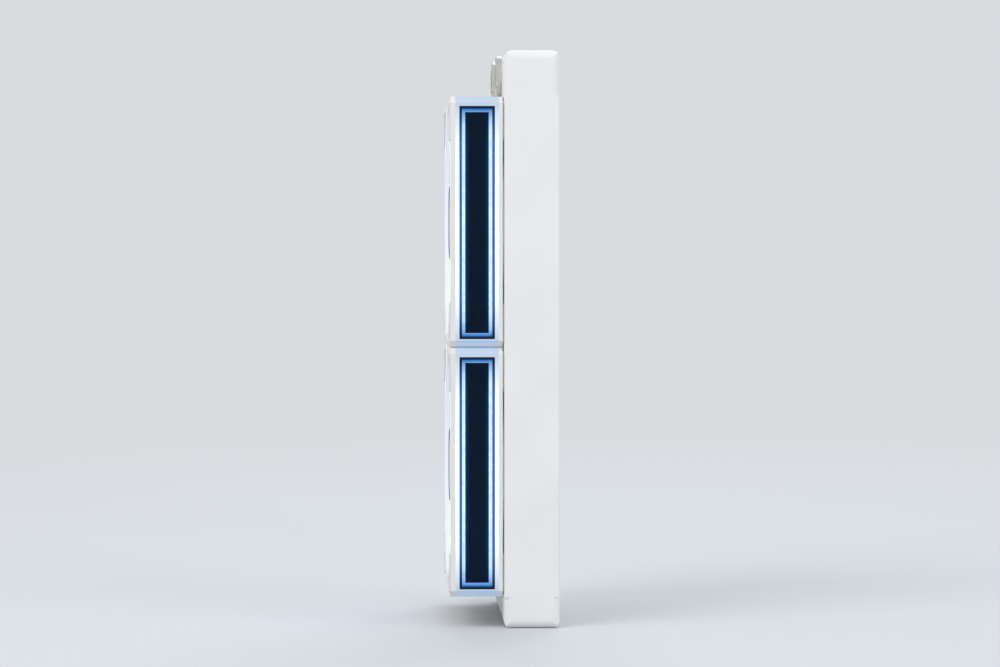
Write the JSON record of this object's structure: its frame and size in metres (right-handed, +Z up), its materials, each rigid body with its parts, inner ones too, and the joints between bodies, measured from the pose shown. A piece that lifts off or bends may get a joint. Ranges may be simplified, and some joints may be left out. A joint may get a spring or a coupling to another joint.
{
  "type": "liquid cooling radiator",
  "caption": "Slim liquid cooling radiator for a computer case: flat tubes and folded fins between end tanks, threaded hose ports, and edge-lit fans screwed to one face.",
  "frame": {"origin": "middle of the outer panel-side screw pattern, on the radiator's panel-side face", "axes": "+X out of the radiator towards the case panel it is screwed to, +Z up along its length, fans on the -X side"},
  "size_m": [0.0532, 0.12, 0.28],
  "materials": {
    "radiator_paint": "fine-textured white powder coat",
    "fin_paint": "thin white paint on folded sheet",
    "tube_metal": "thin white paint on flat tube",
    "core_metal": "bare rolled sheet",
    "nut_steel": "zinc plated",
    "port_nickel": "nickel plated, turned",
    "seal_rubber": "matt",
    "fan_plastic": "off-white, fine spark-eroded grain",
    "pad_plastic": "off-white elastomer",
    "contact_gold": "gold flash",
    "edge_diffuser": "milky diffuser, lit from behind",
    "smoked_mirror": "smoked half mirror",
    "back_mirror": "mirror foil",
    "edge_light_line": "clear light line, lit",
    "face_light_line": "milky light line, lit",
    "screw_black": "black zinc",
    "impeller_plastic": "milky translucent, lit from the hub",
    "hub_navy": "dark gloss",
    "hub_light": "milky ring, lit",
    "hub_mirror": "smoked half mirror",
    "yoke_steel": "drawn, zinc plated",
    "magnet": "bonded ferrite",
    "shaft_steel": "ground",
    "bearing_bronze": "sintered bronze",
    "stator_steel": "pressed sheet stack",
    "coil_copper": "enamelled copper wire",
    "board_mask": "solder mask",
    "led_chip": "light chip"
  },
  "bodies": {
    "radiator": {"port_tank": "radiator_paint", "tank_divider": "core_metal", "return_tank": "radiator_paint", "header_plates": "radiator_paint", "coolant_tubes": "tube_metal", "fins": "fin_paint", "core_side_plates": "core_metal", "side_channel_front": "radiator_paint", "side_channel_rear": "radiator_paint", "fan_side_nuts": "nut_steel", "case_side_nuts": "nut_steel", "port_collars": "port_nickel", "bleed_plug": "port_nickel", "bleed_plug_seal": "seal_rubber", "upper_frame": "fan_plastic", "upper_end_cap": "fan_plastic", "upper_contacts": "contact_gold", "upper_edge_light_guides": "edge_diffuser", "upper_edge_mirrors": "smoked_mirror", "upper_edge_back_mirrors": "back_mirror", "upper_edge_led_strips": "edge_light_line", "upper_face_light_guides": "face_light_line", "upper_corner_pads": "pad_plastic", "upper_fan_screws": "screw_black", "upper_bearing": "bearing_bronze", "upper_stator_core": "stator_steel", "upper_coils": "coil_copper", "upper_motor_board": "board_mask", "upper_hub_leds": "led_chip", "lower_frame": "fan_plastic", "lower_end_cap": "fan_plastic", "lower_contacts": "contact_gold", "lower_edge_light_guides": "edge_diffuser", "lower_edge_mirrors": "smoked_mirror", "lower_edge_back_mirrors": "back_mirror", "lower_edge_led_strips": "edge_light_line", "lower_face_light_guides": "face_light_line", "lower_corner_pads": "pad_plastic", "lower_fan_screws": "screw_black", "lower_bearing": "bearing_bronze", "lower_stator_core": "stator_steel", "lower_coils": "coil_copper", "lower_motor_board": "board_mask", "lower_hub_leds": "led_chip"},
    "upper_rotor": {"upper_impeller": "impeller_plastic", "upper_hub_ring": "hub_navy", "upper_hub_light_ring": "hub_light", "upper_hub_mirror": "hub_mirror", "upper_rotor_yoke": "yoke_steel", "upper_magnet_ring": "magnet", "upper_shaft": "shaft_steel", "upper_shaft_clip": "shaft_steel"},
    "lower_rotor": {"lower_impeller": "impeller_plastic", "lower_hub_ring": "hub_navy", "lower_hub_light_ring": "hub_light", "lower_hub_mirror": "hub_mirror", "lower_rotor_yoke": "yoke_steel", "lower_magnet_ring": "magnet", "lower_shaft": "shaft_steel", "lower_shaft_clip": "shaft_steel"}
  },
  "joints": [
    {"name": "upper_fan_spin", "type": "hinge", "parent": "radiator", "child": "upper_rotor", "pos_m": [-0.0526, 0, 0.06], "axis": [1, 0, 0], "continuous": true},
    {"name": "lower_fan_spin", "type": "hinge", "parent": "radiator", "child": "lower_rotor", "pos_m": [-0.0526, 0, -0.06], "axis": [1, 0, 0], "continuous": true}
  ]
}
